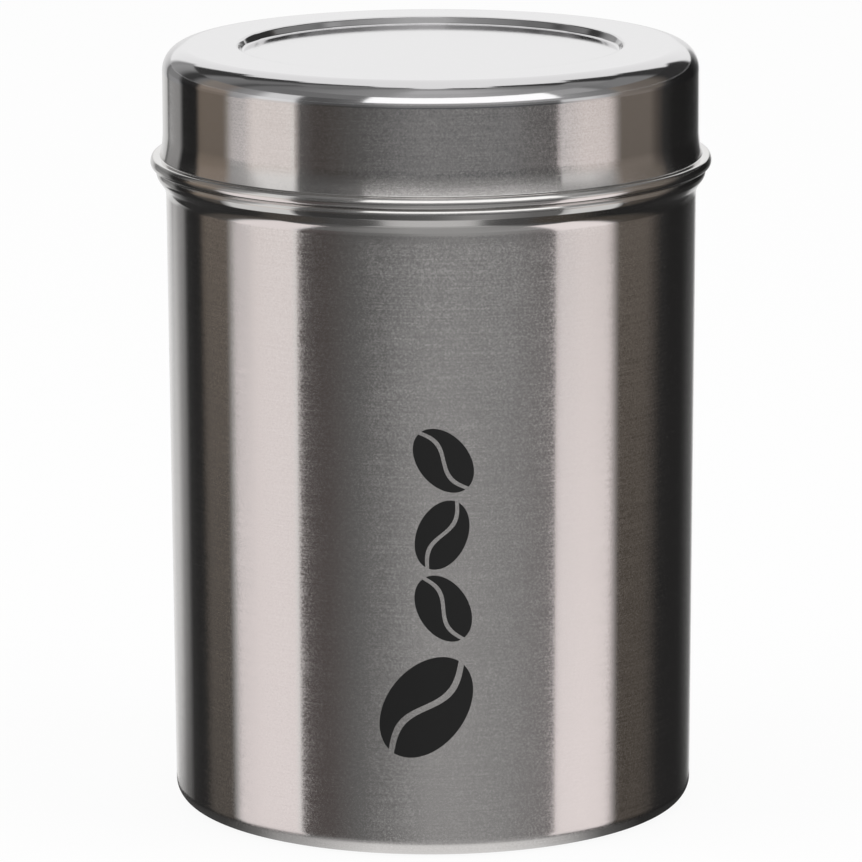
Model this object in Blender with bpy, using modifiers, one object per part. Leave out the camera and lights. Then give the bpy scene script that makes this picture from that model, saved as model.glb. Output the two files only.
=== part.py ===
"""Stainless steel coffee canister with a lift-off lid.

Units are metres, +Z is up, and every piece is turned about the Z axis. The body is a cup
drawn from one sheet, which stands on z = 0. The lid is a shallow cap drawn from the same
sheet: its skirt slides over the body's neck, its curled edge rests on the body's bead, and
a silicone ring under its top rests on the rolled mouth.
"""

import math

import bpy

COLLECTION_NAME = "coffee_canister"

# The sheet, and the room between pieces
SHEET_GAUGE = 0.0005
SEAT_GAP = 0.0003
SKIRT_CLEARANCE = 0.0004

# Body
BODY_RADIUS = 0.05235
WALL_LEAN = math.radians(0.38)
BASE_BEND_INSIDE = 0.0034
FOOT_WIDTH = 0.0042
BASE_LIFT = 0.0015
BASE_STEP_SLOPE = math.radians(45)
BASE_STEP_INSIDE = 0.0005
BASE_STEP_OUTSIDE = 0.0006

# Bead on the body that carries the lid
BEAD_TOP = 0.1280
BEAD_DEPTH = 0.0019
BEAD_SLOPE = math.radians(40)
BEAD_NOSE_INSIDE = 0.0002
BEAD_FILLET = 0.0038

# Neck inside the lid, and the rolled mouth
NECK_STEP = 0.00035
NECK_CREASE = 0.0004
MOUTH_ROLL_INSIDE = 0.0006
MOUTH_ROLL_END = 250  # direction of the free end from the roll's centre, in degrees

# Lid
LID_HEIGHT = 0.0237
LID_BEND_INSIDE = 0.0044
PANEL_MARGIN = 0.0152  # from the skirt's face in to the recess's edge
PANEL_DEPTH = 0.0015
PANEL_EDGE_INSIDE = 0.0003
PANEL_FOOT_FILLET = 0.0007
PANEL_WALL_SLOPE = math.radians(60)
FLARE_FILLET = 0.0040
CURL_INSIDE = 0.00085
CURL_REACH = 0.00115
CURL_END = -205  # direction of the free end from the curl's centre, in degrees

# Seal
SEAL_THICKNESS = 0.0027
SEAL_WIDTH = 0.0058
SEAL_EDGE = 0.0004

# Directions in the section, in degrees. Down is 270 for a bend that is followed anticlockwise
# and -90 for one that is followed clockwise.
OUT = 0
UP = 90
IN = 180
DOWN = 270
DOWN_CLOCKWISE = -90
OUT_AND_DOWN = -45

# How finely the shapes are drawn
TURN_STEPS = 60
ROLL_STEPS = 11
BEND_STEPS = 6
FLARE_STEPS = 4
EDGE_STEPS = 2
AXIS_MERGE = 0.00001

# Heights and radii that follow from the sizes above
CURL_RADIUS = CURL_INSIDE + SHEET_GAUGE
LID_SEAT = BEAD_TOP + SEAT_GAP
NECK_RADIUS = BODY_RADIUS - NECK_STEP
SKIRT_RADIUS = NECK_RADIUS + SKIRT_CLEARANCE + SHEET_GAUGE
PANEL_RADIUS = SKIRT_RADIUS - PANEL_MARGIN
LID_BEND = LID_BEND_INSIDE + SHEET_GAUGE
LID_BEND_CENTRE = (SKIRT_RADIUS - LID_BEND, LID_HEIGHT - LID_BEND)
MOUTH_ROLL = MOUTH_ROLL_INSIDE + SHEET_GAUGE
SEAL_TOP = LID_HEIGHT - SHEET_GAUGE - SEAT_GAP
# The mouth stops under the seal, and never rises into the lid's corner bend.
MOUTH_TOP_IN_LID = min(SEAL_TOP - SEAL_THICKNESS - SEAT_GAP, LID_BEND_CENTRE[1] + MOUTH_ROLL)
MOUTH_TOP = LID_SEAT + MOUTH_TOP_IN_LID


def polar(centre, radius, degrees):
    """The point of the section at this distance and direction from a centre."""
    angle = math.radians(degrees)
    return (centre[0] + radius * math.cos(angle), centre[1] + radius * math.sin(angle))


def arc(centre, radius, start, end, steps):
    """Points along an arc of the section, from one direction to another."""
    return [polar(centre, radius, start + (end - start) * i / steps) for i in range(steps + 1)]


def outer_bend(centre, tight_radius, depth, start, end, steps):
    """A bend round a centre on the sheet's inner side, at a depth below its outer face."""
    return arc(centre, tight_radius + SHEET_GAUGE - depth, start, end, steps)


def inner_bend(centre, tight_radius, depth, start, end, steps):
    """A bend round a centre on the sheet's outer side, at a depth below its outer face."""
    return arc(centre, tight_radius + depth, start, end, steps)


def body_line(depth):
    """The body's section at a depth below its outer face, from the mouth to the base's middle."""
    slope = math.degrees(BEAD_SLOPE)
    lean = math.degrees(WALL_LEAN)
    roll_centre = (NECK_RADIUS - MOUTH_ROLL, MOUTH_TOP - MOUTH_ROLL)
    crease_centre = (NECK_RADIUS + NECK_CREASE, BEAD_TOP + NECK_CREASE)
    nose = BEAD_NOSE_INSIDE + SHEET_GAUGE
    nose_centre = (BODY_RADIUS + BEAD_DEPTH - nose, BEAD_TOP - nose)

    # The fillet under the bead touches the bead's slope and the leaning wall.
    slope_offset = nose_centre[0] * math.cos(BEAD_SLOPE) - nose_centre[1] * math.sin(BEAD_SLOPE) + nose
    fillet_rise = BEAD_FILLET * (1 - math.cos(BEAD_SLOPE - WALL_LEAN))
    wall_top = (BODY_RADIUS * math.cos(BEAD_SLOPE) - fillet_rise - slope_offset) / math.sin(BEAD_SLOPE)
    fillet_centre = polar((BODY_RADIUS, wall_top), BEAD_FILLET, -lean)

    # The bend at the foot touches the wall and the table.
    base_bend = BASE_BEND_INSIDE + SHEET_GAUGE
    wall_foot = base_bend * (1 - math.sin(WALL_LEAN))
    base_radius = BODY_RADIUS - (wall_top - wall_foot) * math.tan(WALL_LEAN)
    base_centre = (base_radius - base_bend * math.cos(WALL_LEAN), base_bend)

    # A sloping step lifts the middle of the base off the table.
    step = math.degrees(BASE_STEP_SLOPE)
    lower_bend = BASE_STEP_INSIDE + SHEET_GAUGE
    lower_centre = (base_centre[0] - FOOT_WIDTH, lower_bend)
    bends_rise = (lower_bend + BASE_STEP_OUTSIDE) * (1 - math.cos(BASE_STEP_SLOPE))
    bends_run = (lower_bend + BASE_STEP_OUTSIDE) * math.sin(BASE_STEP_SLOPE)
    step_run = bends_run + (BASE_LIFT - bends_rise) / math.tan(BASE_STEP_SLOPE)
    upper_centre = (lower_centre[0] - step_run, BASE_LIFT - BASE_STEP_OUTSIDE)

    return (
        outer_bend(roll_centre, MOUTH_ROLL_INSIDE, depth, MOUTH_ROLL_END, OUT, ROLL_STEPS)
        + inner_bend(crease_centre, NECK_CREASE, depth, IN, DOWN, EDGE_STEPS)
        + outer_bend(nose_centre, BEAD_NOSE_INSIDE, depth, UP, -slope, EDGE_STEPS + 1)
        + inner_bend(fillet_centre, BEAD_FILLET, depth, IN - slope, IN - lean, EDGE_STEPS)
        + outer_bend(base_centre, BASE_BEND_INSIDE, depth, -lean, DOWN_CLOCKWISE, BEND_STEPS)
        + outer_bend(lower_centre, BASE_STEP_INSIDE, depth, DOWN, DOWN - step, EDGE_STEPS)
        + inner_bend(upper_centre, BASE_STEP_OUTSIDE, depth, UP - step, UP, EDGE_STEPS)
        + [(0, BASE_LIFT + depth)]
    )


def lid_line(depth):
    """The lid's section at a depth below its outer face, from its middle to the curl's end."""
    wall = math.degrees(PANEL_WALL_SLOPE)
    edge = PANEL_EDGE_INSIDE + SHEET_GAUGE
    edge_centre = (PANEL_RADIUS + edge, LID_HEIGHT - edge)
    bends_rise = (edge + PANEL_FOOT_FILLET) * (1 - math.cos(PANEL_WALL_SLOPE))
    bends_run = (edge + PANEL_FOOT_FILLET) * math.sin(PANEL_WALL_SLOPE)
    wall_run = bends_run + (PANEL_DEPTH - bends_rise) / math.tan(PANEL_WALL_SLOPE)
    foot_centre = (edge_centre[0] - wall_run, LID_HEIGHT - PANEL_DEPTH + PANEL_FOOT_FILLET)

    # The skirt flares into the curl: the two bends touch where the flare ends.
    curl_centre = (SKIRT_RADIUS + CURL_REACH, CURL_RADIUS)
    flare_offset = FLARE_FILLET - CURL_REACH
    flare_rise = math.sqrt((FLARE_FILLET + CURL_RADIUS) ** 2 - flare_offset ** 2)
    flare_centre = (SKIRT_RADIUS + FLARE_FILLET, curl_centre[1] + flare_rise)
    flare = math.degrees(math.atan2(flare_rise, flare_offset))

    return (
        [(0, LID_HEIGHT - PANEL_DEPTH - depth)]
        + inner_bend(foot_centre, PANEL_FOOT_FILLET, depth, DOWN, DOWN + wall, EDGE_STEPS)
        + outer_bend(edge_centre, PANEL_EDGE_INSIDE, depth, UP + wall, UP, EDGE_STEPS)
        + outer_bend(LID_BEND_CENTRE, LID_BEND_INSIDE, depth, UP, OUT, BEND_STEPS)
        + inner_bend(flare_centre, FLARE_FILLET, depth, IN, IN + flare, FLARE_STEPS)
        + outer_bend(curl_centre, CURL_INSIDE, depth, flare, CURL_END, ROLL_STEPS)
    )


def seal_outline():
    """The seal's section: its outer face follows the lid's corner, and the others are flat."""
    lower_edge = MOUTH_TOP_IN_LID + SEAT_GAP + SEAL_EDGE
    corner = LID_BEND_INSIDE - SEAT_GAP
    rise = min(max(lower_edge - LID_BEND_CENTRE[1], 0), corner)
    lowest = math.degrees(math.asin(rise / corner))
    outer_edge = polar(LID_BEND_CENTRE, corner, lowest)[0] - SEAL_EDGE
    inner_edge = NECK_RADIUS - SEAL_WIDTH + SEAL_EDGE
    return (
        arc(LID_BEND_CENTRE, corner, UP, lowest, BEND_STEPS)
        + arc((outer_edge, lower_edge), SEAL_EDGE, OUT_AND_DOWN, DOWN_CLOCKWISE, EDGE_STEPS)
        + arc((inner_edge, lower_edge), SEAL_EDGE, DOWN, IN, EDGE_STEPS)
        + arc((inner_edge, SEAL_TOP - SEAL_EDGE), SEAL_EDGE, IN, UP, EDGE_STEPS)
    )


def finish(name, colour, roughness, metallic):
    """A plain material of one colour. Metallic is 1 for bare steel and 0 for silicone."""
    material = bpy.data.materials.new(name)
    material.use_nodes = True
    shader = material.node_tree.nodes["Principled BSDF"]
    shader.inputs["Base Color"].default_value = (*colour, 1.0)
    shader.inputs["Roughness"].default_value = roughness
    shader.inputs["Metallic"].default_value = metallic
    return material


def turned(name, section, is_ring, material, collection, parent=None):
    """Turns a section of (radius, height) points about the Z axis into one solid."""
    last = len(section) - 1
    edges = [(i, i + 1) for i in range(last)] + [(last, 0)] * is_ring
    mesh = bpy.data.meshes.new(name)
    mesh.from_pydata([(radius, 0, height) for radius, height in section], edges, [])
    mesh.materials.append(material)
    piece = bpy.data.objects.new(name, mesh)
    screw = piece.modifiers.new("Turn", "SCREW")
    screw.axis = "Z"
    screw.angle = math.tau
    screw.steps = TURN_STEPS
    screw.render_steps = TURN_STEPS
    screw.use_merge_vertices = True
    screw.merge_threshold = AXIS_MERGE
    screw.use_smooth_shade = True
    piece.parent = parent
    collection.objects.link(piece)
    return piece


def make_canister():
    """Builds the three pieces in a collection of their own."""
    for old in list(bpy.data.objects):
        bpy.data.objects.remove(old, do_unlink=True)
    collection = bpy.data.collections.new(COLLECTION_NAME)
    bpy.context.scene.collection.children.link(collection)

    lid_axis = bpy.data.objects.new("lid_axis", None)
    lid_axis.location = (0, 0, LID_SEAT)
    collection.objects.link(lid_axis)

    brushed = finish("brushed_stainless_steel", (0.56, 0.54, 0.53), 0.30, 1)
    bright = finish("bright_stainless_steel", (0.62, 0.61, 0.60), 0.18, 1)
    silicone = finish("translucent_silicone", (0.78, 0.78, 0.75), 0.55, 0)

    # Each sheet section runs along one face and back along the other.
    body_section = body_line(SHEET_GAUGE)[::-1] + body_line(0)
    lid_section = lid_line(0) + lid_line(SHEET_GAUGE)[::-1]
    turned("body_shell", body_section, False, brushed, collection)
    turned("lid_shell", lid_section, False, bright, collection, lid_axis)
    turned("seal_ring", seal_outline(), True, silicone, collection, lid_axis)


make_canister()
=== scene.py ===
import math

import bmesh
import bpy
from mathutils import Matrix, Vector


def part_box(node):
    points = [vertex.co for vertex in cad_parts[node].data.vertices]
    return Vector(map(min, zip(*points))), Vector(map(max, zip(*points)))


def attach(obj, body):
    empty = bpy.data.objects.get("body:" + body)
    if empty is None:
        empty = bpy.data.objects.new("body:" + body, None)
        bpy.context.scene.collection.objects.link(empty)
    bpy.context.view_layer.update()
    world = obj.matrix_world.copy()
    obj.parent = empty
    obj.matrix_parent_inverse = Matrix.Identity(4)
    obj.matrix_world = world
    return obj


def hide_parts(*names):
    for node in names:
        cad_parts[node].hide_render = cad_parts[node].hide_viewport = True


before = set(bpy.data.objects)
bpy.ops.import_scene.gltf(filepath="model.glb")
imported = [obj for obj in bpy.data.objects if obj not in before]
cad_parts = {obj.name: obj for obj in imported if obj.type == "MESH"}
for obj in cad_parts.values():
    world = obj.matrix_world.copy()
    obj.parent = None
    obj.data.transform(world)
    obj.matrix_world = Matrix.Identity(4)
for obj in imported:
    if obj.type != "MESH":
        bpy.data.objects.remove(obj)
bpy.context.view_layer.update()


# The canister body. One cup deep-drawn from 0.5 mm stainless sheet: a rounded bend at the foot,
# a base whose middle is pressed up off the table, a bead rolled out near the top that carries
# the lid, and a neck that ends in a mouth rolled inwards, so that no cut edge is left bare.
SHEET = 0.0005
WALL_RADIUS = 0.05235
WALL_LEAN = math.radians(0.38)
FOOT_BEND = 0.0034
FOOT_RING = 0.0042
BASE_LIFT = 0.0015
BASE_STEP = 45
BASE_STEP_BEND = 0.0005
BASE_RIM_BEND = 0.0006
BEAD_TOP = 0.1281
BEAD_REACH = 0.0019
BEAD_SLOPE = 36
BEAD_FACE = 0.0014
BEAD_FACE_TOP = 28
BEAD_SHOULDER = 0.00005
BEAD_FILLET = 0.0038
NECK_STEP = 0.00035
NECK_CREASE = 0.0004
MOUTH_ROLL = 0.0006
MOUTH_ROLL_END = 250
BEND_STEP = 4
EDGE_STEP = 30
STEPS_ROUND = 200
WELD = 0.000002
BRUSHED, BRIGHT, INSIDE, ROLLED = 0, 1, 2, 3
OUTER, INNER = 1, -1


def linear(code):
    """An sRGB hex colour such as #CFCBC7 as linear red, green, blue and alpha."""
    shares = [int(code[i:i + 2], 16) / 255 for i in (1, 3, 5)]
    return [s / 12.92 if s <= 0.04045 else ((s + 0.055) / 1.055) ** 2.4 for s in shares] + [1]


def add(tree, kind, inputs=None, **settings):
    """Adds a node. Each input is a value, or another node's output that is linked to it."""
    made = tree.nodes.new(kind)
    for name, value in settings.items():
        setattr(made, name, value)
    for key, value in (inputs or {}).items():
        if isinstance(value, bpy.types.NodeSocket):
            tree.links.new(value, made.inputs[key])
        else:
            made.inputs[key].default_value = value
    return made


def at(centre, radius, degrees):
    """The point of the section at this distance and direction from a centre."""
    angle = math.radians(degrees)
    return centre[0] + radius * math.cos(angle), centre[1] + radius * math.sin(angle)


def sheet_line(bends, depth):
    """Points of a sheet's section at a depth below its outer face, with the finish after each.

    A bend is its centre, its tight radius, which side of the sheet its centre is on, its first
    and last direction, and the finish on it and after it."""
    points = []
    for centre, tight, side, start, end, on_it, after_it in bends:
        radius = tight + SHEET - depth if side == OUTER else tight + depth
        steps = max(2, math.ceil(abs(end - start) / BEND_STEP))
        for i in range(steps + 1):
            place = at(centre, radius, start + (end - start) * i / steps)
            points.append((*place, after_it if i == steps else on_it))
    return points


def sheet_end(centre, tight, side, degrees, turn, finish):
    """The sheet's own edge, deburred to a half round, from its outer face to its inner one."""
    middle = at(centre, tight + SHEET / 2, degrees)
    start = degrees if side == OUTER else degrees + 180
    steps = 180 // EDGE_STEP
    return [(*at(middle, SHEET / 2, start + turn * EDGE_STEP * i), finish) for i in range(1, steps)]


def sheet_section(bends, axis_height, turn):
    """A whole sheet as it is drawn: its outer face, its free edge and its inner face.

    The free edge is at the first bend's start, and both faces run from there to the axis."""
    outer = sheet_line(bends, 0) + [(0, axis_height, INSIDE)]
    inner = [(r, z, INSIDE) for r, z, _ in sheet_line(bends, SHEET)]
    centre, tight, side, start = bends[0][:4]
    edge = sheet_end(centre, tight, side, start, turn, bends[0][5])
    return outer, edge, inner


turning = bpy.data.node_groups.new("Turn a section round Z", "GeometryNodeTree")
turning.interface.new_socket("Section", in_out="INPUT", socket_type="NodeSocketGeometry")
turning.interface.new_socket("Steps round", in_out="INPUT", socket_type="NodeSocketInt")
turning.interface.new_socket("Brushed", in_out="INPUT", socket_type="NodeSocketMaterial")
turning.interface.new_socket("Bright", in_out="INPUT", socket_type="NodeSocketMaterial")
turning.interface.new_socket("Inside", in_out="INPUT", socket_type="NodeSocketMaterial")
turning.interface.new_socket("Rolled", in_out="INPUT", socket_type="NodeSocketMaterial")
turning.interface.new_socket("Turned", in_out="OUTPUT", socket_type="NodeSocketGeometry")
given = add(turning, "NodeGroupInput").outputs
count = add(turning, "GeometryNodeAttributeDomainSize",
            {"Geometry": given["Section"]}, component="MESH").outputs["Point Count"]
columns = add(turning, "FunctionNodeIntegerMath", {0: given["Steps round"], 1: 1}, operation="ADD").outputs[0]
grid = add(turning, "GeometryNodeMeshGrid", {"Vertices X": columns, "Vertices Y": count}).outputs["Mesh"]
index = add(turning, "GeometryNodeInputIndex").outputs[0]
column = add(turning, "FunctionNodeIntegerMath", {0: index, 1: count}, operation="DIVIDE_FLOOR").outputs[0]
row = add(turning, "FunctionNodeIntegerMath", {0: index, 1: count}, operation="MODULO").outputs[0]
place = add(turning, "GeometryNodeInputPosition").outputs[0]
sampled = add(turning, "GeometryNodeSampleIndex",
              {"Geometry": given["Section"], "Value": place, "Index": row},
              data_type="FLOAT_VECTOR", domain="POINT").outputs[0]
turns = add(turning, "ShaderNodeMath", {0: column, 1: given["Steps round"]}, operation="DIVIDE").outputs[0]
angle = add(turning, "ShaderNodeMath", {0: turns, 1: math.tau}, operation="MULTIPLY").outputs[0]
turned = add(turning, "ShaderNodeVectorRotate",
             {"Vector": sampled, "Angle": angle}, rotation_type="Z_AXIS").outputs[0]
shell = add(turning, "GeometryNodeSetPosition", {"Geometry": grid, "Position": turned}).outputs[0]
strips = add(turning, "FunctionNodeIntegerMath", {0: count, 1: 1}, operation="SUBTRACT").outputs[0]
strip = add(turning, "FunctionNodeIntegerMath", {0: index, 1: strips}, operation="MODULO").outputs[0]
named = add(turning, "GeometryNodeInputNamedAttribute", {"Name": "finish"}, data_type="INT").outputs["Attribute"]
finish_of = add(turning, "GeometryNodeSampleIndex",
                {"Geometry": given["Section"], "Value": named, "Index": strip},
                data_type="INT", domain="POINT").outputs[0]
for number, socket in ((BRUSHED, "Brushed"), (BRIGHT, "Bright"), (INSIDE, "Inside"), (ROLLED, "Rolled")):
    chosen = add(turning, "FunctionNodeCompare", data_type="INT", operation="EQUAL")
    turning.links.new(finish_of, chosen.inputs[2])
    chosen.inputs[3].default_value = number
    covered = {"Geometry": shell, "Selection": chosen.outputs[0], "Material": given[socket]}
    shell = add(turning, "GeometryNodeSetMaterial", covered).outputs[0]
shell = add(turning, "GeometryNodeMergeByDistance", {"Geometry": shell, "Distance": WELD}).outputs[0]
shell = add(turning, "GeometryNodeSetShadeSmooth", {"Geometry": shell}).outputs[0]
shell = add(turning, "GeometryNodeRealizeInstances", {"Geometry": shell}).outputs[0]
add(turning, "NodeGroupOutput", {"Turned": shell})


def settled(piece):
    """The piece as its modifiers leave it, in a plain mesh with no modifiers."""
    bpy.context.view_layer.update()
    shape = piece.evaluated_get(bpy.context.evaluated_depsgraph_get())
    mesh = bpy.data.meshes.new_from_object(shape)
    piece.modifiers.clear()
    piece.data = mesh
    mesh.name = piece.name
    return piece


def turn(name, section, brushed, bright, inside, rolled):
    """Turns a section round the Z axis into a closed piece with an even surface."""
    mesh = bpy.data.meshes.new(name)
    mesh.from_pydata([(r, 0, z) for r, z, _ in section], [(i, i + 1) for i in range(len(section) - 1)], [])
    mesh.attributes.new("finish", "INT", "POINT").data.foreach_set("value", [f for _, _, f in section])
    piece = bpy.data.objects.new(name, mesh)
    bpy.context.scene.collection.objects.link(piece)
    modifier = piece.modifiers.new("Turn", "NODES")
    modifier.node_group = turning
    for item in turning.interface.items_tree:
        values = {"Steps round": STEPS_ROUND, "Brushed": brushed, "Bright": bright,
                  "Inside": inside, "Rolled": rolled}
        if item.name in values:
            modifier[item.identifier] = values[item.name]
    piece.modifiers.new("Even normals", "WEIGHTED_NORMAL").weight = 50
    return settled(piece)


# Brushed stainless steel. The wall was brushed round and round with a fine belt: reflections
# keep their upright edges and run out up and down, hairlines lie level round the wall, and the
# belt's grit leaves a fine even grain.
HAIRLINE_SPACING = 0.00016  # typically under 0.1 mm on real steel: drawn this coarse to show
HAIRLINE_LENGTH = 0.016
HAIRLINE_DEPTH = 0.0000005
GRAIN_SIZE = 0.0004  # real grit marks are typically under 0.1 mm: drawn this coarse to show
GRAIN_SHARE = 0.6
CLOUD_SIZE = 0.006
CLOUD_SHARE = 0.12
NOISE_LOW, NOISE_HIGH = 0.35, 0.65
SMEAR_TURN = 0.25  # in whole turns, from level to upright


def brushed_steel(name, dark, light, least, most, anisotropy):
    """Steel brushed round the Z axis, between two tones and two roughnesses."""
    material = bpy.data.materials.new(name)
    material.use_nodes = True
    tree = material.node_tree
    shader = tree.nodes["Principled BSDF"]
    where = add(tree, "ShaderNodeTexCoord").outputs["Object"]
    squeeze = (1 / HAIRLINE_LENGTH, 1 / HAIRLINE_LENGTH, 1 / HAIRLINE_SPACING)
    level = add(tree, "ShaderNodeMapping", {"Vector": where, "Scale": squeeze}).outputs[0]
    lined = {"Vector": level, "Scale": 1, "Detail": 2, "Roughness": 0.6}
    hairlines = add(tree, "ShaderNodeTexNoise", lined).outputs[0]
    grain = add(tree, "ShaderNodeTexNoise", {"Vector": where, "Scale": 1 / GRAIN_SIZE, "Detail": 1}).outputs[0]
    clouds = add(tree, "ShaderNodeTexNoise", {"Vector": where, "Scale": 1 / CLOUD_SIZE, "Detail": 3}).outputs[0]
    fine = add(tree, "ShaderNodeMix", {"Factor": GRAIN_SHARE, 2: hairlines, 3: grain}).outputs[0]
    both = add(tree, "ShaderNodeMix", {"Factor": CLOUD_SHARE, 2: fine, 3: clouds}).outputs[0]
    spread = {"Value": both, "From Min": NOISE_LOW, "From Max": NOISE_HIGH}
    share = add(tree, "ShaderNodeMapRange", spread).outputs[0]
    tones = {"Factor": share, 6: linear(dark), 7: linear(light)}
    tone = add(tree, "ShaderNodeMix", tones, data_type="RGBA").outputs[2]
    rough = add(tree, "ShaderNodeMapRange", {**spread, "To Min": least, "To Max": most}).outputs[0]
    cut = {"Height": hairlines, "Strength": 1, "Distance": HAIRLINE_DEPTH}
    grooves = add(tree, "ShaderNodeBump", cut).outputs[0]
    tree.links.new(tone, shader.inputs["Base Color"])
    tree.links.new(rough, shader.inputs["Roughness"])
    tree.links.new(grooves, shader.inputs["Normal"])
    shader.inputs["Metallic"].default_value = 1
    shader.inputs["Anisotropic"].default_value = anisotropy
    shader.inputs["Anisotropic Rotation"].default_value = SMEAR_TURN
    return material


# Bright stainless steel. Bends, beads and the lid's top were buffed after brushing: a mirror
# with a faint haze, and rings of finer and coarser buffing that show only in a raking light.
BUFF_SPACING = 0.0006  # real buffing lines are finer: drawn this coarse to show
BUFF_LOW, BUFF_HIGH = 0.3, 0.7
BUFF_CLOUD_SHARE = 0.5


def bright_steel(name, dark, light, least, most):
    """Buffed steel, between two tones and two roughnesses."""
    material = bpy.data.materials.new(name)
    material.use_nodes = True
    tree = material.node_tree
    shader = tree.nodes["Principled BSDF"]
    where = add(tree, "ShaderNodeTexCoord").outputs["Object"]
    radius = add(tree, "ShaderNodeVectorMath", {0: where}, operation="LENGTH").outputs["Value"]
    along = {"W": radius, "Scale": 1 / BUFF_SPACING, "Detail": 3}
    rings = add(tree, "ShaderNodeTexNoise", along, noise_dimensions="1D").outputs[0]
    clouds = add(tree, "ShaderNodeTexNoise", {"Vector": where, "Scale": 1 / CLOUD_SIZE, "Detail": 3}).outputs[0]
    both = add(tree, "ShaderNodeMix", {"Factor": BUFF_CLOUD_SHARE, 2: rings, 3: clouds}).outputs[0]
    tones = {"Factor": both, 6: linear(dark), 7: linear(light)}
    tone = add(tree, "ShaderNodeMix", tones, data_type="RGBA").outputs[2]
    spread = {"Value": both, "From Min": BUFF_LOW, "From Max": BUFF_HIGH,
              "To Min": least, "To Max": most}
    rough = add(tree, "ShaderNodeMapRange", spread).outputs[0]
    tree.links.new(tone, shader.inputs["Base Color"])
    tree.links.new(rough, shader.inputs["Roughness"])
    shader.inputs["Metallic"].default_value = 1
    return material


# The wall is brushed coarser than the skirt. Rolled edges mirror a little more softly than the
# lid's top, and the inside keeps the sheet's own satin, which gives a sheen and no clear image.
wall_steel = brushed_steel("brushed stainless steel wall", "#CFCCCA", "#DEDBD9", 0.10, 0.24, 1)
skirt_steel = brushed_steel("brushed stainless steel skirt", "#D2CFCD", "#DAD7D5", 0.085, 0.165, 1)
polished_steel = bright_steel("buffed stainless steel", "#D5D4D5", "#DBDADB", 0.08, 0.11)
rolled_steel = bright_steel("rolled stainless steel edge", "#D0CECC", "#D8D6D4", 0.11, 0.15)
satin_steel = bright_steel("satin stainless steel inside", "#C6C3C0", "#CFCCC9", 0.30, 0.38)

neck_radius = WALL_RADIUS - NECK_STEP
mouth_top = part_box("body_shell")[1].z
roll = MOUTH_ROLL + SHEET
roll_centre = (neck_radius - roll, mouth_top - roll)
crease_centre = (neck_radius + NECK_CREASE, BEAD_TOP + NECK_CREASE)
bead = BEAD_FACE + SHEET
bead_inset = BEAD_FACE - BEAD_SHOULDER
bead_head_rise = bead_inset * math.sin(math.radians(BEAD_FACE_TOP)) + BEAD_SHOULDER + SHEET
bead_centre = (WALL_RADIUS + BEAD_REACH - bead, BEAD_TOP - bead_head_rise)
bead_head = at(bead_centre, bead_inset, BEAD_FACE_TOP)
slope = math.radians(BEAD_SLOPE)
lean = math.degrees(WALL_LEAN)
slope_offset = bead_centre[0] * math.cos(slope) - bead_centre[1] * math.sin(slope) + bead
fillet_rise = BEAD_FILLET * (1 - math.cos(slope - WALL_LEAN))
wall_top = (WALL_RADIUS * math.cos(slope) - fillet_rise - slope_offset) / math.sin(slope)
fillet_centre = at((WALL_RADIUS, wall_top), BEAD_FILLET, -lean)
foot_bend = FOOT_BEND + SHEET
wall_foot = foot_bend * (1 - math.sin(WALL_LEAN))
foot_radius = WALL_RADIUS - (wall_top - wall_foot) * math.tan(WALL_LEAN)
foot_centre = (foot_radius - foot_bend * math.cos(WALL_LEAN), foot_bend)
step = math.radians(BASE_STEP)
lower = BASE_STEP_BEND + SHEET
lower_centre = (foot_centre[0] - FOOT_RING, lower)
step_rise = (lower + BASE_RIM_BEND) * (1 - math.cos(step))
step_run = (lower + BASE_RIM_BEND) * math.sin(step) + (BASE_LIFT - step_rise) / math.tan(step)
upper_centre = (lower_centre[0] - step_run, BASE_LIFT - BASE_RIM_BEND)
body_bends = [
    (roll_centre, MOUTH_ROLL, OUTER, MOUTH_ROLL_END, 0, BRIGHT, BRUSHED),
    (crease_centre, NECK_CREASE, INNER, 180, 270, ROLLED, ROLLED),
    (bead_head, BEAD_SHOULDER, OUTER, 90, BEAD_FACE_TOP, ROLLED, ROLLED),
    (bead_centre, BEAD_FACE, OUTER, BEAD_FACE_TOP, -BEAD_SLOPE, ROLLED, ROLLED),
    (fillet_centre, BEAD_FILLET, INNER, 180 - BEAD_SLOPE, 180 - lean, ROLLED, BRUSHED),
    (foot_centre, FOOT_BEND, OUTER, -lean, -90, BRUSHED, INSIDE),
    (lower_centre, BASE_STEP_BEND, OUTER, 270, 270 - BASE_STEP, INSIDE, INSIDE),
    (upper_centre, BASE_RIM_BEND, INNER, 90 - BASE_STEP, 90, INSIDE, INSIDE),
]
outer, edge, inner = sheet_section(body_bends, BASE_LIFT, 1)
body_section = outer[::-1] + edge + inner + [(0, BASE_LIFT + SHEET, INSIDE)]
body = turn("canister_wall_and_base", body_section, wall_steel, polished_steel, satin_steel, rolled_steel)
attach(body, "canister_body")
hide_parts("body_shell")


# The lid. A shallow cap drawn from the same sheet: a flat rim round a pressed round recess, a
# rounded corner, a brushed skirt that slides over the neck, and an edge curled outwards.
LID_HEIGHT = 0.0237
LID_CORNER = 0.0044
SKIRT_CLEARANCE = 0.0004
RECESS_MARGIN = 0.0152
RECESS_DEPTH = 0.0015
RECESS_SLOPE = 60
RECESS_EDGE = 0.0003
RECESS_FOOT = 0.0007
FLARE = 0.0215
FLARE_ANGLE = 13
CREASE = 0.0002
CURL_FACE = 0.0015
CURL_FACE_TOP = 28
CURL_FACE_FOOT = -14
CURL_SHOULDER = 0.00005
CURL_REST = 0.00012
CURL_FOOT = 0.0008
CURL_END = -205

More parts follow.
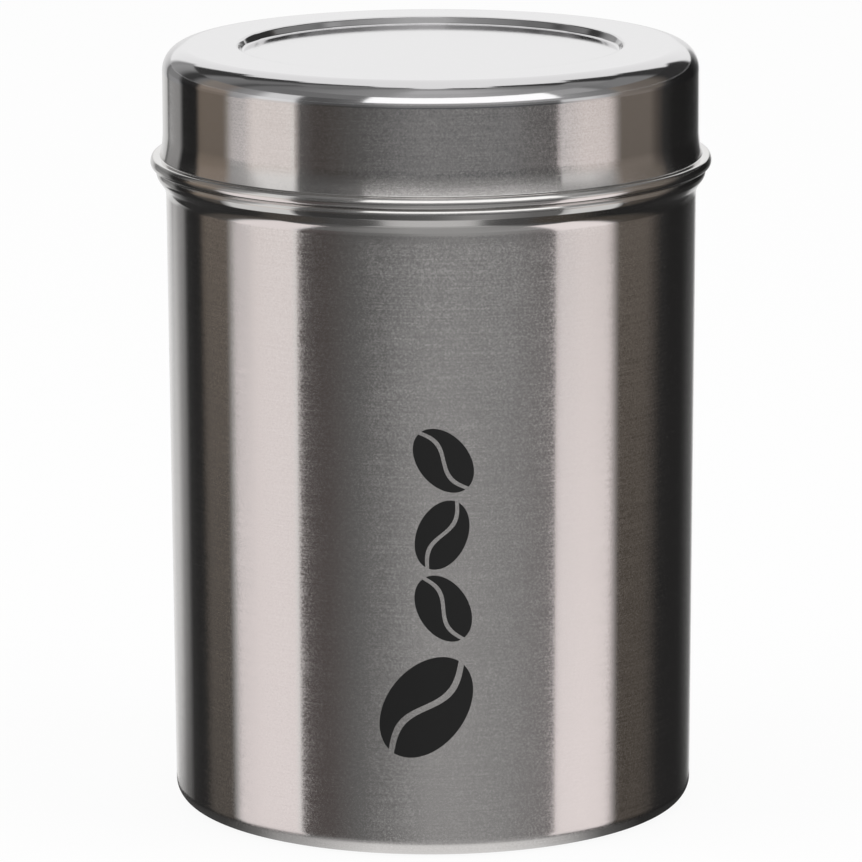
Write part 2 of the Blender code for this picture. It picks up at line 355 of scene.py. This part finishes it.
lid_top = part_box("lid_shell")[1].z
lid_seat = lid_top - LID_HEIGHT
skirt_radius = neck_radius + SKIRT_CLEARANCE + SHEET
corner = LID_CORNER + SHEET
corner_centre = (skirt_radius - corner, lid_top - corner)
recess_edge = RECESS_EDGE + SHEET
recess_radius = skirt_radius - RECESS_MARGIN
edge_centre = (recess_radius + recess_edge, lid_top - recess_edge)
recess_slope = math.radians(RECESS_SLOPE)
bends_rise = (recess_edge + RECESS_FOOT) * (1 - math.cos(recess_slope))
recess_run = (recess_edge + RECESS_FOOT) * math.sin(recess_slope)
recess_run += (RECESS_DEPTH - bends_rise) / math.tan(recess_slope)
recess_foot = (edge_centre[0] - recess_run, lid_top - RECESS_DEPTH + RECESS_FOOT)
face = CURL_FACE + SHEET
shoulder = CURL_SHOULDER + SHEET
face_inset = face - shoulder
foot_drop = -face_inset * math.sin(math.radians(CURL_FACE_FOOT)) + shoulder
face_centre = (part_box("lid_shell")[1].x - face, lid_seat - CURL_REST + foot_drop)
head_centre = at(face_centre, face_inset, CURL_FACE_TOP)
heel_centre = at(face_centre, face_inset, CURL_FACE_FOOT)
roll_back = (heel_centre[0] - CURL_FOOT, heel_centre[1])
flare_run = FLARE * (1 - math.cos(math.radians(FLARE_ANGLE)))
crease_run = CREASE * math.cos(math.radians(FLARE_ANGLE))
crease_at = (skirt_radius + flare_run + crease_run, head_centre[1] + shoulder + CREASE)
flare_top = crease_at[1] + (FLARE - CREASE) * math.sin(math.radians(FLARE_ANGLE))
lid_bends = [
    (roll_back, CURL_SHOULDER, OUTER, CURL_END, -90, ROLLED, ROLLED),
    (heel_centre, CURL_SHOULDER, OUTER, -90, CURL_FACE_FOOT, ROLLED, ROLLED),
    (face_centre, CURL_FACE, OUTER, CURL_FACE_FOOT, CURL_FACE_TOP, ROLLED, ROLLED),
    (head_centre, CURL_SHOULDER, OUTER, CURL_FACE_TOP, 90, ROLLED, ROLLED),
    (crease_at, CREASE, INNER, 270, 180 + FLARE_ANGLE, ROLLED, BRUSHED),
    ((skirt_radius + FLARE, flare_top), FLARE, INNER, 180 + FLARE_ANGLE, 180, BRUSHED, BRUSHED),
    (corner_centre, LID_CORNER, OUTER, 0, 90, BRIGHT, BRIGHT),
    (edge_centre, RECESS_EDGE, OUTER, 90, 90 + RECESS_SLOPE, BRIGHT, BRIGHT),
    (recess_foot, RECESS_FOOT, INNER, 270 + RECESS_SLOPE, 270, BRIGHT, BRIGHT),
]
outer, edge, inner = sheet_section(lid_bends, lid_top - RECESS_DEPTH, -1)
lid_section = [(0, lid_top - RECESS_DEPTH - SHEET, INSIDE)] + inner[::-1] + edge[::-1] + outer
lid = turn("lid_cap", lid_section, skirt_steel, polished_steel, satin_steel, rolled_steel)
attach(lid, "lid")
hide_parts("lid_shell")


# The print on the front. Coffee beans screen-printed up the wall in black enamel ink, baked on:
# a satin film a few hundredths of a millimetre thick, which hides the brushing under it.
BEAN_WIDTH_SHARE = 0.69
SLIT_WIDTH_SHARE = 0.085
SLIT_SWING_SHARE = 0.24
BEAN_TIP_SHARE = 0.995
BEAN_ROWS = 28
BEAN_COLUMNS = 6
PORE_SIZE = 0.00025  # real pores in the film are finer: drawn this coarse to show
INK_BACK = 0.00001
INK_FRONT = 0.00004
BEANS = (  # distance right of the middle, height, half length, turn in degrees
    (-0.0013, 0.0303, 0.0112, 38),
    (0.0021, 0.0499, 0.0071, -32),
    (0.0019, 0.0644, 0.0071, 24),
    (0.0022, 0.0790, 0.0071, -40),
)


def bean_half(side):
    """One half of a bean of half length 1, flat and closed, from its bent slit to its rim."""
    points = []
    for depth in (-INK_BACK, INK_FRONT):
        for i in range(BEAN_ROWS + 1):
            along = BEAN_TIP_SHARE * math.sin(math.pi * (i / BEAN_ROWS - 0.5))
            rim = side * math.sqrt(1 - along * along)
            slit = SLIT_SWING_SHARE * math.sin(math.pi * along) + side * SLIT_WIDTH_SHARE
            slit = side * min(side * slit, side * rim)
            for j in range(BEAN_COLUMNS + 1):
                across = slit + (rim - slit) * j / BEAN_COLUMNS
                points.append((across * BEAN_WIDTH_SHARE, -depth, along))
    row = BEAN_COLUMNS + 1
    back = (BEAN_ROWS + 1) * row
    faces = []
    for i in range(BEAN_ROWS):
        for j in range(BEAN_COLUMNS):
            a = i * row + j
            faces += [(a, a + 1, a + row + 1, a + row),
                      (back + a, back + a + row, back + a + row + 1, back + a + 1)]
        left, right = i * row, i * row + BEAN_COLUMNS
        faces += [(left, left + row, back + left + row, back + left),
                  (right, back + right, back + right + row, right + row)]
    for j in range(BEAN_COLUMNS):
        last = BEAN_ROWS * row + j
        faces += [(j, back + j, back + j + 1, j + 1), (last, last + 1, back + last + 1, back + last)]
    return points, faces


bean_mesh = bmesh.new()
for side in (-1, 1):
    points, faces = bean_half(side)
    corners = [bean_mesh.verts.new(point) for point in points]
    for face in faces:
        bean_mesh.faces.new([corners[i] for i in face])
bmesh.ops.recalc_face_normals(bean_mesh, faces=bean_mesh.faces)
bean_shape = bpy.data.meshes.new("bean")
bean_mesh.to_mesh(bean_shape)
bean_mesh.free()
bean = bpy.data.objects.new("bean", bean_shape)
bpy.context.scene.collection.objects.link(bean)

ink = bpy.data.materials.new("baked black enamel ink")
ink.use_nodes = True
tree = ink.node_tree
shader = tree.nodes["Principled BSDF"]
where = add(tree, "ShaderNodeTexCoord").outputs["Object"]
pores = add(tree, "ShaderNodeTexNoise", {"Vector": where, "Scale": 1 / PORE_SIZE, "Detail": 2}).outputs[0]
rough = add(tree, "ShaderNodeMapRange", {"Value": pores, "To Min": 0.42, "To Max": 0.56}).outputs[0]
tones = {"Factor": pores, 6: linear("#0B0B0B"), 7: linear("#121212")}
tone = add(tree, "ShaderNodeMix", tones, data_type="RGBA").outputs[2]
tree.links.new(tone, shader.inputs["Base Color"])
tree.links.new(rough, shader.inputs["Roughness"])

printing = bpy.data.node_groups.new("Print on the wall", "GeometryNodeTree")
printing.interface.new_socket("Places", in_out="INPUT", socket_type="NodeSocketGeometry")
printing.interface.new_socket("Stencil", in_out="INPUT", socket_type="NodeSocketObject")
printing.interface.new_socket("Wall radius", in_out="INPUT", socket_type="NodeSocketFloat")
printing.interface.new_socket("Wall top", in_out="INPUT", socket_type="NodeSocketFloat")
printing.interface.new_socket("Wall slope", in_out="INPUT", socket_type="NodeSocketFloat")
printing.interface.new_socket("Ink", in_out="INPUT", socket_type="NodeSocketMaterial")
printing.interface.new_socket("Print", in_out="OUTPUT", socket_type="NodeSocketGeometry")
given = add(printing, "NodeGroupInput").outputs
stencil = add(printing, "GeometryNodeObjectInfo", {"Object": given["Stencil"]}).outputs["Geometry"]
size = add(printing, "GeometryNodeInputNamedAttribute",
           {"Name": "size"}, data_type="FLOAT_VECTOR").outputs["Attribute"]
tilt = add(printing, "GeometryNodeInputNamedAttribute",
           {"Name": "tilt"}, data_type="FLOAT_VECTOR").outputs["Attribute"]
tilted = add(printing, "FunctionNodeEulerToRotation", {"Euler": tilt}).outputs[0]
laid = {"Points": given["Places"], "Instance": stencil, "Rotation": tilted, "Scale": size}
prints = add(printing, "GeometryNodeInstanceOnPoints", laid).outputs[0]
prints = add(printing, "GeometryNodeRealizeInstances", {"Geometry": prints}).outputs[0]
flat = add(printing, "ShaderNodeSeparateXYZ", {0: add(printing, "GeometryNodeInputPosition").outputs[0]}).outputs
below = add(printing, "ShaderNodeMath", {0: given["Wall top"], 1: flat["Z"]}, operation="SUBTRACT").outputs[0]
drawn_in = add(printing, "ShaderNodeMath", {0: below, 1: given["Wall slope"]}, operation="MULTIPLY").outputs[0]
out = add(printing, "ShaderNodeMath", {0: given["Wall radius"], 1: flat["Y"]}, operation="SUBTRACT").outputs[0]
out = add(printing, "ShaderNodeMath", {0: out, 1: drawn_in}, operation="SUBTRACT").outputs[0]
angle = add(printing, "ShaderNodeMath", {0: flat["X"], 1: given["Wall radius"]}, operation="DIVIDE").outputs[0]
forward = add(printing, "ShaderNodeMath", {0: out, 1: -1}, operation="MULTIPLY").outputs[0]
arm = add(printing, "ShaderNodeCombineXYZ", {"Y": forward, "Z": flat["Z"]}).outputs[0]
wrapped = add(printing, "ShaderNodeVectorRotate",
              {"Vector": arm, "Angle": angle}, rotation_type="Z_AXIS").outputs[0]
prints = add(printing, "GeometryNodeSetPosition", {"Geometry": prints, "Position": wrapped}).outputs[0]
prints = add(printing, "GeometryNodeSetMaterial", {"Geometry": prints, "Material": given["Ink"]}).outputs[0]
add(printing, "NodeGroupOutput", {"Print": prints})

mesh = bpy.data.meshes.new("bean_print")
mesh.from_pydata([(x, 0, z) for x, z, _, _ in BEANS], [], [])
bean_sizes = [v for _, _, half, _ in BEANS for v in (half, 1, half)]
bean_tilts = [v for _, _, _, degrees in BEANS for v in (0, math.radians(degrees), 0)]
mesh.attributes.new("size", "FLOAT_VECTOR", "POINT").data.foreach_set("vector", bean_sizes)
mesh.attributes.new("tilt", "FLOAT_VECTOR", "POINT").data.foreach_set("vector", bean_tilts)
bean_print = bpy.data.objects.new("bean_print", mesh)
bpy.context.scene.collection.objects.link(bean_print)
modifier = bean_print.modifiers.new("Print", "NODES")
modifier.node_group = printing
values = {"Stencil": bean, "Wall radius": WALL_RADIUS, "Wall top": wall_top,
          "Wall slope": math.tan(WALL_LEAN), "Ink": ink}
for item in printing.interface.items_tree:
    if item.name in values:
        modifier[item.identifier] = values[item.name]
settled(bean_print)
bpy.data.objects.remove(bean)
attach(bean_print, "canister_body")


# The sealing ring. Moulded food-grade silicone, pressed into the lid's corner, where the
# rolled mouth closes against it. Satin, milky and slightly see-through at its edges.
SEAT_GAP = 0.0003
SEAL_EDGE = 0.0004
SEAL_WIDTH = 0.0058
SPECKLES_PER_METRE = 900  # a faint mottle a little over 1 mm across

silicone = bpy.data.materials.new("moulded translucent silicone")
silicone.use_nodes = True
tree = silicone.node_tree
shader = tree.nodes["Principled BSDF"]
where = add(tree, "ShaderNodeTexCoord").outputs["Object"]
speckle = add(tree, "ShaderNodeTexNoise", {"Vector": where, "Scale": SPECKLES_PER_METRE, "Detail": 2}).outputs[0]
rough = add(tree, "ShaderNodeMapRange", {"Value": speckle, "To Min": 0.48, "To Max": 0.60}).outputs[0]
tones = {"Factor": speckle, 6: linear("#E2E0D8"), 7: linear("#E9E7E0")}
tone = add(tree, "ShaderNodeMix", tones, data_type="RGBA").outputs[2]
tree.links.new(tone, shader.inputs["Base Color"])
tree.links.new(rough, shader.inputs["Roughness"])
shader.inputs["IOR"].default_value = 1.41
shader.inputs["Subsurface Weight"].default_value = 0.3
shader.inputs["Subsurface Scale"].default_value = 0.002

seal_low, seal_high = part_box("seal_ring")
seal_corner = LID_CORNER - SEAT_GAP
seal_foot = seal_low.z + SEAL_EDGE
lowest = math.degrees(math.asin(min(max((seal_foot - corner_centre[1]) / seal_corner, 0), 1)))
seal_outer = at(corner_centre, seal_corner, lowest)[0] - SEAL_EDGE
seal_inner = neck_radius - SEAL_WIDTH + SEAL_EDGE
seal_arcs = [
    ((seal_inner, seal_high.z - SEAL_EDGE), SEAL_EDGE, 90, 180),
    ((seal_inner, seal_foot), SEAL_EDGE, 180, 270),
    ((seal_outer, seal_foot), SEAL_EDGE, -90, -45),
    (corner_centre, seal_corner, lowest, 90),
]
seal_section = []
for centre, radius, start, end in seal_arcs:
    steps = math.ceil((end - start) / BEND_STEP)
    for i in range(steps + 1):
        seal_section.append((*at(centre, radius, start + (end - start) * i / steps), BRUSHED))
seal = turn("sealing_ring", seal_section + seal_section[:1], silicone, silicone, silicone, silicone)
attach(seal, "lid_seal")
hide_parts("seal_ring")


# The studio. A pale floor, soft lamps for what is matt, and paper cards that only the metal
# sees: about three metres off the softboxes, the grey room between them and the white backdrop,
# and close by the table round the foot, with painted light and shade on it, and a strip of
# painted shade and reflection that the bead mirrors.
CARD_DISTANCE = 3
STRIP_DISTANCE = 2.95
SOFTBOX_DISTANCE = 2.9
LID_CARD_DISTANCE = 2.8
CARD_STEP = 3
# Painted shade and reflection: a ring just in front of the bead, which only the metal sees.
PAINTED_RING_RADIUS, PAINTED_RING_LOW, PAINTED_RING_HIGH = 0.0552, 0.1223, 0.1267
TABLE_HEIGHT = 0.0002
TABLE_INNER, TABLE_EDGE, TABLE_OUTER = 0.030, 0.0536, 0.0556
# Painted shade: the table's ring just outside the foot is darkened to this share.
TABLE_SHADE = 0.5

card_paper = bpy.data.materials.new("studio card")
card_paper.use_nodes = True
tree = card_paper.node_tree
tree.nodes.clear()
tone = add(tree, "ShaderNodeAttribute", attribute_name="tone").outputs["Color"]
glow = add(tree, "ShaderNodeEmission", {"Color": tone}).outputs[0]
add(tree, "ShaderNodeOutputMaterial", {"Surface": glow})
card_paper.cycles.emission_sampling = "NONE"


def dome(low, high, distance=CARD_DISTANCE):
    """Distances out and heights of a card that follows a sphere between two elevations."""
    rows = max(1, math.ceil((high - low) / CARD_STEP))
    return [at((0, 0), distance, low + (high - low) * j / rows) for j in range(rows + 1)]


def card(name, profile, stops):
    """A card curved round the canister, with distances out and heights as its profile.

    Stops are directions round it, 0 to the front and 90 to the right, each with the tone there."""
    sides = []
    for (first, tone_1), (last, tone_2) in zip(stops, stops[1:]):
        steps = max(1, math.ceil((last - first) / CARD_STEP))
        for i in range(steps):
            share = i / steps
            blended = [a + (b - a) * share for a, b in zip(tone_1, tone_2)]
            sides.append((first + (last - first) * share, blended))
    sides.append(stops[-1])
    points, tones = [], []
    for azimuth, tone in sides:
        angle = math.radians(azimuth)
        for out, height in profile:
            points.append((out * math.sin(angle), -out * math.cos(angle), height))
            tones += [*tone, 1]
    rows = len(profile) - 1
    faces = []
    for i in range(len(sides) - 1):
        for j in range(rows):
            a = i * (rows + 1) + j
            faces.append((a, a + 1, a + rows + 2, a + rows + 1))
    mesh = bpy.data.meshes.new(name)
    mesh.from_pydata(points, [], faces)
    mesh.attributes.new("tone", "FLOAT_COLOR", "POINT").data.foreach_set("color", tones)
    mesh.materials.append(card_paper)
    made = bpy.data.objects.new(name, mesh)
    bpy.context.scene.collection.objects.link(made)
    made.visible_camera = False
    made.visible_diffuse = False
    made.visible_transmission = False
    made.visible_volume_scatter = False
    made.visible_shadow = False


def greys(*stops):
    """Stops whose tones are given as a brightness alone, where 1 is white."""
    return [(azimuth, tone if isinstance(tone, tuple) else (tone,) * 3) for azimuth, tone in stops]


SOFTBOX = (1.06, 0.98, 0.983)
SOFTBOX_RIGHT = (1.14, 1.054, 1.057)
BOX_SKIRT_LEFT = (0.82, 0.765, 0.73)
BOX_SKIRT_RIGHT = (0.69, 0.63, 0.60)
BROWN = (0.085, 0.077, 0.069)
BROWN_LIT = (0.16, 0.15, 0.142)
BROWN_SKIRT = (0.235, 0.195, 0.160)
BROWN_FLARE = (0.30, 0.25, 0.21)
BROWN_RIGHT = (0.080, 0.070, 0.060)
BROWN_RIGHT_SKIRT = (0.235, 0.205, 0.180)
DARK = (0.115, 0.100, 0.098)
DARK_SKIRT = (0.066, 0.061, 0.056)
DIM = (0.116, 0.119, 0.126)
card("softbox_left", dome(-50, 0, SOFTBOX_DISTANCE), greys(
    (-99.5, 0.1), (-97, 0.55), (-94, SOFTBOX), (-61.8, SOFTBOX)
))
card("softbox_right", dome(-50, 0, SOFTBOX_DISTANCE), greys(
    (55, SOFTBOX_RIGHT), (83.3, SOFTBOX_RIGHT), (88.5, 0.15)
))
card("softbox_front", dome(18, 43, SOFTBOX_DISTANCE), greys((-29, 1.45), (57, 1.45)))
card("skirt_height", dome(-7.1, 1, LID_CARD_DISTANCE), greys(
    (-180, 0.85), (-162, 0.75), (-154.5, 0.6), (-153, 0.16), (-151, 0.16), (-149, 0.31),
    (-135.5, 0.33), (-131.5, 0.02), (-119, 0.02), (-115.5, BROWN_SKIRT), (-97, BROWN_SKIRT),
    (-93, 0.36), (-86.5, 0.44), (-80.5, BOX_SKIRT_LEFT), (-59.5, BOX_SKIRT_LEFT), (-56.5, 0.12),
    (-50, DARK_SKIRT), (-40, DARK_SKIRT), (-28, 0.077), (-13, DIM), (34, DIM), (44, 0.088),
    (51, 0.077), (55.5, 0.077), (56.7, 0.42), (68, BOX_SKIRT_RIGHT), (79.5, BOX_SKIRT_RIGHT),
    (86, BROWN_RIGHT_SKIRT), (106, BROWN_RIGHT_SKIRT), (111, (0.12, 0.103, 0.092)), (117.5, 0.04),
    (125, 0.018), (150, 0.014), (158, 0.05), (163, 0.12), (166, 0.35), (169, 0.8), (180, 0.9)
))
card("flare_height", dome(1, 10, LID_CARD_DISTANCE), greys(
    (-180, 0.9), (-160, 0.7), (-154.5, 0.5), (-153, 0.16), (-149, 0.26), (-135.5, 0.26),
    (-131.5, 0.03), (-117.5, 0.03), (-114, BROWN_FLARE), (-97, BROWN_FLARE), (-92, 0.4), (-84, 0.5),
    (-77, 0.95), (-59.5, 0.95), (-57, 0.13), (-50, 0.1), (-40, 0.1), (-28, 0.14), (-13, 0.26),
    (34, 0.26), (44, 0.2), (55.5, 0.2), (56.7, 0.75), (70, 0.8), (80, 0.5), (88, BROWN_RIGHT_SKIRT),
    (113, (0.17, 0.15, 0.13)), (119, 0.05), (125, 0.018), (150, 0.014), (158, 0.05), (166, 0.35),
    (169, 0.8), (180, 0.9)
))
card("backdrop_low_left", dome(-66, -15, SOFTBOX_DISTANCE), greys(
    (-180, 1), (-167, 1), (-162, 0.35), (-158, 0.2), (-153, 0.04), (-127, 0.03)
))
card("backdrop_low_right", dome(-66, -15, SOFTBOX_DISTANCE), greys(
    (140, 0.03), (150, 0.03), (160, 0.08), (164, 0.5), (168, 1), (180, 1)
))
card("room_left", dome(-66, 8), greys(
    (-180, 0.95), (-165, 0.85), (-158, 0.72), (-151, 0.72), (-147, 0.62), (-144, 0.42),
    (-141, 0.31), (-136.5, 0.22), (-133, 0.05), (-125, 0.027), (-119, 0.035), (-115, BROWN),
    (-92, BROWN)
))
card("brown_lit", dome(-12.4, -9.8, STRIP_DISTANCE), greys(
    (-117, BROWN), (-113, BROWN_LIT), (-98, BROWN_LIT)
))
card("room_front", dome(-28, 8), greys(
    (-60, DARK), (-46, DARK), (-33, 0.165), (-20, 0.215), (-2, 0.37), (12, 0.375), (30, 0.325),
    (57, (0.235, 0.22, 0.223))
))
card("room_right", dome(-66, 8), greys(
    (83, BROWN_RIGHT), (104, BROWN_RIGHT), (112, (0.060, 0.055, 0.050)), (118, 0.025), (140, 0.025),
    (146, 0.05), (155, 0.11), (163, 0.2), (170, 0.8), (180, 1)
))
card("floor_before_it", dome(-40, -28), greys(
    (-60, 0.14), (-40, 0.2), (-10, 0.4), (20, 0.4), (57, 0.34)
))
card("floor_near_it", dome(-66, -40), greys(
    (-100, 0.06), (-88, 0.07), (-76, 0.12), (-60, 0.12), (-49, 0.18), (-37, 0.26), (-13, 0.4),
    (16, 0.4), (43, 0.34), (55, 0.3), (60, 0.12), (90, 0.08)
))
card("floor_close_to_it", dome(-76, -66), greys(
    (-180, 0.14), (-98, 0.08), (-60, 0.1), (-55, 0.4), (-37, 0.5), (43, 0.5), (53, 0.4), (60, 0.1),
    (88, 0.08), (180, 0.14)
))
card("nadir", dome(-90, -76), greys(
    (-180, 0.14), (-100, 0.2), (-90, 0.6), (-37, 0.68), (43, 0.68), (88, 0.6), (98, 0.14),
    (180, 0.14)
))
card("high", dome(10, 28), greys(
    (-180, 1), (-158, 1), (-154, 0.3), (-148, 0.36), (-140, 0.3), (-132, 0.06), (-124, 0.05),
    (-119, 0.2), (-112, (0.28, 0.25, 0.22)), (-98, (0.25, 0.22, 0.2)), (-90, 0.28), (-80, 0.38),
    (-73, 0.85), (-59.5, 0.85), (-57, 0.12), (-45, 0.12), (-33, 0.18), (-15, 0.37), (30, 0.42),
    (55, 0.38), (70, 0.3), (84, 0.22), (88, (0.26, 0.23, 0.2)), (96, (0.2, 0.175, 0.155)),
    (114, (0.17, 0.15, 0.13)), (124, 0.04), (152, 0.04), (155, 1), (180, 1)
))
card("upper", dome(28, 46), greys(
    (-180, 1), (-152, 1), (-149, 0.05), (-131, 0.05), (-123, 0.25), (-106, 0.2), (-97, 0.09),
    (-90, 0.2), (-60, 0.2), (-33, 0.22), (-20, 0.35), (45, 0.4), (60, 0.42), (78, 0.42), (84, 0.2),
    (93, 0.25), (120, 0.25), (127, 0.05), (143, 0.05), (146, 1), (180, 1)
))
card("ceiling", dome(46, 60), greys(
    (-180, 1), (-142, 1), (-139, 0.05), (-124, 0.06), (-115, 0.2), (-103, 0.2), (-97, 0.1),
    (-88, 0.2), (-60, 0.27), (-25, 0.35), (-12, 0.5), (20, 0.5), (35, 0.42), (60, 0.35), (90, 0.25),
    (108, 0.3), (116, 0.05), (136, 0.05), (139, 1), (180, 1)
))
card("ceiling_glow", dome(60, 77), greys(
    (-180, 1), (-134, 1), (-131, 0.08), (-118, 0.1), (-107, 0.22), (-75, 0.2), (-55, 0.3),
    (-25, 0.35), (-12, 0.55), (20, 0.55), (35, 0.48), (55, 0.4), (75, 0.25), (92, 0.22),
    (100, 0.05), (119, 0.05), (122, 1), (180, 1)
))
card("zenith_edge", dome(77, 86), greys(
    (-180, 1), (-118, 1), (-110, 0.1), (-95, 0.15), (-60, 0.25), (-20, 0.38), (20, 0.38), (40, 0.3),
    (60, 0.15), (75, 0.08), (88, 0.06), (92, 1), (180, 1)
))
card("zenith", dome(86, 90), greys((-180, 1), (180, 1)))
# Painted shade and reflection on the ring at the bead: dark across the front, where the bead's underside is in
# shade, with two light bands towards the sides.
card("flag_at_the_bead", [(PAINTED_RING_RADIUS, PAINTED_RING_LOW), (PAINTED_RING_RADIUS, PAINTED_RING_HIGH)], greys(
    (-50, 0.1), (-48.5, 0.4), (-46.5, 0.8), (-30.8, 0.86), (-29, 0.1), (-25.5, 0.055),
    (-20.3, 0.055), (-13.2, 0.075), (-6.6, 0.12), (0, 0.16), (7.1, 0.3), (11.2, 0.32), (15.2, 0.25),
    (21.9, 0.17), (27.8, 0.17), (28.6, 0.6), (30.6, 0.85), (42, 0.8), (44, 0.15)
))
# Painted light and shade on the table round the foot, which only the metal sees: light in front and behind, dark
# at the sides, and shaded to half just outside the foot.
painted_foot_light_and_shade = greys(
    (-180, 0.7), (-150, 0.5), (-120, 0.05), (-56, 0.06), (-50, 0.11), (-44, 0.19), (-38, 0.4),
    (-30, 0.5), (-22, 0.7), (-13, 0.88), (13, 0.88), (24, 0.76), (33, 0.5), (38, 0.28), (42, 0.14),
    (48, 0.08), (56, 0.03), (120, 0.05), (150, 0.5), (180, 0.7)
)
card("table_at_the_foot", [(TABLE_INNER, TABLE_HEIGHT), (TABLE_EDGE, TABLE_HEIGHT)], painted_foot_light_and_shade)
shaded_tones = [(azimuth, [TABLE_SHADE * share for share in tone]) for azimuth, tone in painted_foot_light_and_shade]
card("table_before_the_foot", [(TABLE_EDGE, TABLE_HEIGHT), (TABLE_OUTER, TABLE_HEIGHT)], shaded_tones)

FLOOR_WHITE = 0.92
floor_finish = bpy.data.materials.new("white studio floor")
floor_finish.use_nodes = True
tree = floor_finish.node_tree
tree.nodes.clear()
path = add(tree, "ShaderNodeLightPath").outputs
direct = {0: path["Is Camera Ray"], 1: path["Is Glossy Ray"]}
seen = add(tree, "ShaderNodeMath", direct, operation="MAXIMUM").outputs[0]
through = {0: seen, 1: path["Is Transmission Ray"]}
seen = add(tree, "ShaderNodeMath", through, operation="MAXIMUM").outputs[0]
share = add(tree, "ShaderNodeMath", {0: seen, 1: FLOOR_WHITE}, operation="MULTIPLY").outputs[0]
paint = add(tree, "ShaderNodeBsdfDiffuse", {"Color": linear("#F8F8F8")}).outputs[0]
white = add(tree, "ShaderNodeEmission", {"Color": (1, 1, 1, 1), "Strength": 1}).outputs[0]
top_side = add(tree, "ShaderNodeMixShader", {0: share, 1: paint, 2: white}).outputs[0]
# Seen from below the floor is clear, so that the canister's base can be looked at.
clear = add(tree, "ShaderNodeBsdfTransparent").outputs[0]
from_below = add(tree, "ShaderNodeNewGeometry").outputs["Backfacing"]
blend = add(tree, "ShaderNodeMixShader", {0: from_below, 1: top_side, 2: clear}).outputs[0]
add(tree, "ShaderNodeOutputMaterial", {"Surface": blend})
floor_finish.cycles.emission_sampling = "NONE"

FLOOR_SIZE = 20
FLOOR_DROP = 0.00002
mesh = bpy.data.meshes.new("floor")
corners = [(*at((0, 0), FLOOR_SIZE, degrees), -FLOOR_DROP) for degrees in (0, 90, 180, 270)]
mesh.from_pydata(corners, [], [(0, 1, 2, 3)])
mesh.materials.append(floor_finish)
floor = bpy.data.objects.new("floor", mesh)
bpy.context.scene.collection.objects.link(floor)
floor.visible_glossy = False

WORLD_LIGHT = 0.7
world = bpy.data.worlds.new("white studio")
bpy.context.scene.world = world
world.use_nodes = True
world.cycles.sampling_method = "NONE"
tree = world.node_tree
tree.nodes.clear()
path = add(tree, "ShaderNodeLightPath").outputs
direct = {0: path["Is Camera Ray"], 1: path["Is Glossy Ray"]}
seen = add(tree, "ShaderNodeMath", direct, operation="MAXIMUM").outputs[0]
through = {0: seen, 1: path["Is Transmission Ray"]}
seen = add(tree, "ShaderNodeMath", through, operation="MAXIMUM").outputs[0]
strength = add(tree, "ShaderNodeMapRange", {"Value": seen, "To Min": WORLD_LIGHT, "To Max": 1}).outputs[0]
sky = add(tree, "ShaderNodeBackground", {"Color": (1, 1, 1, 1), "Strength": strength}).outputs[0]
add(tree, "ShaderNodeOutputWorld", {"Surface": sky})

LAMP_DISTANCE = 1.4
LAMP_HEIGHT = 1.0
LAMP_TILT = 58
LAMP_SIZE = (0.9, 1.2)
LAMP_POWER = 8
for name, azimuth in (("lamp_left", -70), ("lamp_right", 70)):
    lamp = bpy.data.lights.new(name, "AREA")
    lamp.shape = "RECTANGLE"
    lamp.size, lamp.size_y = LAMP_SIZE
    lamp.energy = LAMP_POWER
    shone = bpy.data.objects.new(name, lamp)
    angle = math.radians(azimuth)
    shone.location = (LAMP_DISTANCE * math.sin(angle), -LAMP_DISTANCE * math.cos(angle), LAMP_HEIGHT)
    shone.rotation_euler = (math.radians(LAMP_TILT), 0, angle)
    shone.visible_glossy = False
    shone.visible_camera = False
    bpy.context.scene.collection.objects.link(shone)


# The camera. A long lens from a little above the lid, square to the canister's front.
CAMERA_PLACE = (-0.00018, -1.2702, 0.3371)
CAMERA_PITCH = 11.70
CAMERA_ROLL = -0.19
CAMERA_LENS = 271.86

camera = bpy.data.objects.new("camera", bpy.data.cameras.new("camera"))
camera.data.lens = CAMERA_LENS
camera.data.sensor_width = 36
camera.data.clip_end = 100
camera.location = CAMERA_PLACE
camera.rotation_euler = (math.radians(90 - CAMERA_PITCH), 0, 0)
camera.rotation_euler.rotate_axis("Z", math.radians(CAMERA_ROLL))
bpy.context.scene.collection.objects.link(camera)
bpy.context.scene.camera = camera
bpy.context.scene.view_settings.view_transform = "Standard"
